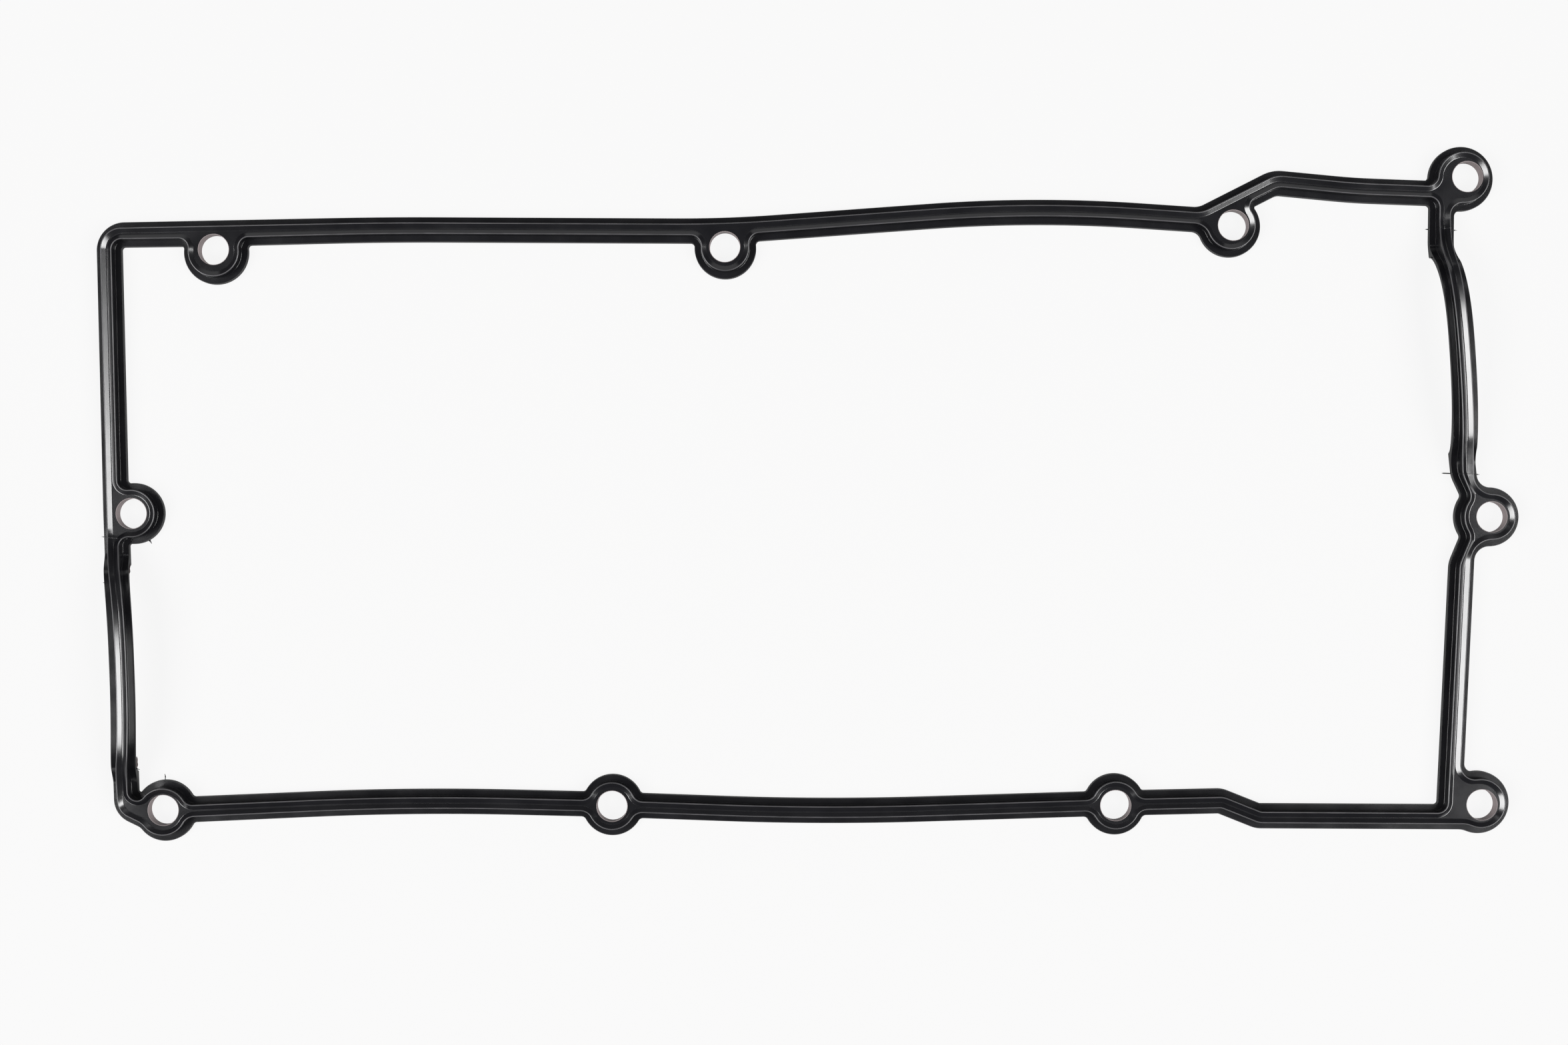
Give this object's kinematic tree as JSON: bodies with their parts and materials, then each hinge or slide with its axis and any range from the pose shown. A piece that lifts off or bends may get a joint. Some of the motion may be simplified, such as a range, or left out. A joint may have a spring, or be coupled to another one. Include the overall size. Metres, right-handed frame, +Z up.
{
  "type": "valve cover gasket",
  "caption": "Moulded rubber rim gasket for an engine's valve cover: a flange with a tall rib, vee-topped, that parts round each bolt hole and arches over the camshaft ends.",
  "frame": {"origin": "middle of the footprint's bounding box, on the underside", "axes": "+X along the length, towards the end whose bolt eyes stand outside the rim; +Y across the width, towards the rail with the long bow; +Z up, from the flat underside to the rib"},
  "size_m": [0.429, 0.2094, 0.0135],
  "materials": {
    "black_rubber": "satin moulded skin"
  },
  "bodies": {
    "root": {"cover_gasket": "black_rubber"}
  },
  "joints": []
}
